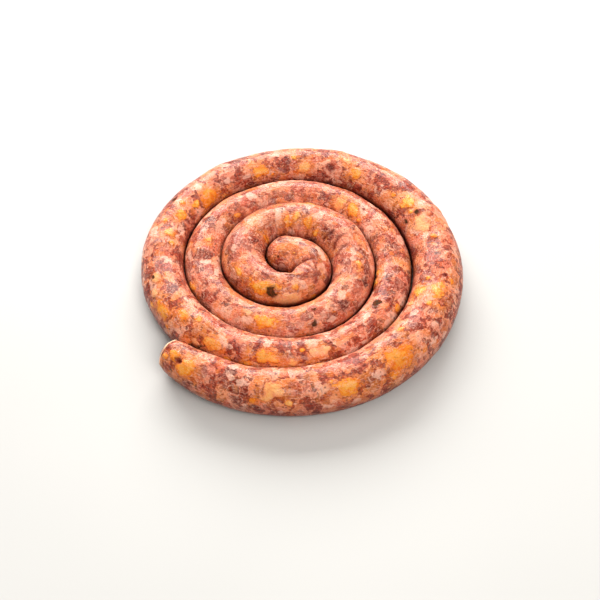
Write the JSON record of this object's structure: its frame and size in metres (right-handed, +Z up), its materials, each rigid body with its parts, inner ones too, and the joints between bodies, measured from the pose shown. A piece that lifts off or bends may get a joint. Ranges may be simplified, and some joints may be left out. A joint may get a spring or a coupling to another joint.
{
  "type": "coiled raw sausage",
  "caption": "Long raw coarse-mince sausage in a natural casing, wound in a flat spiral, with a blunt outer end and a rounded inner end.",
  "frame": {"origin": "centre of the coil's bounding box, on the plane it lies on", "axes": "+Z up; the outer end is at the front left (-X, -Y), the coil runs counter-clockwise inwards seen from above"},
  "size_m": [0.2503, 0.263, 0.0352],
  "materials": {
    "sausage_casing": "moist translucent casing over coarse pink mince with pale fat, red-brown lean and orange-yellow lumps"
  },
  "bodies": {
    "root": {"sausage": "sausage_casing"}
  },
  "joints": []
}
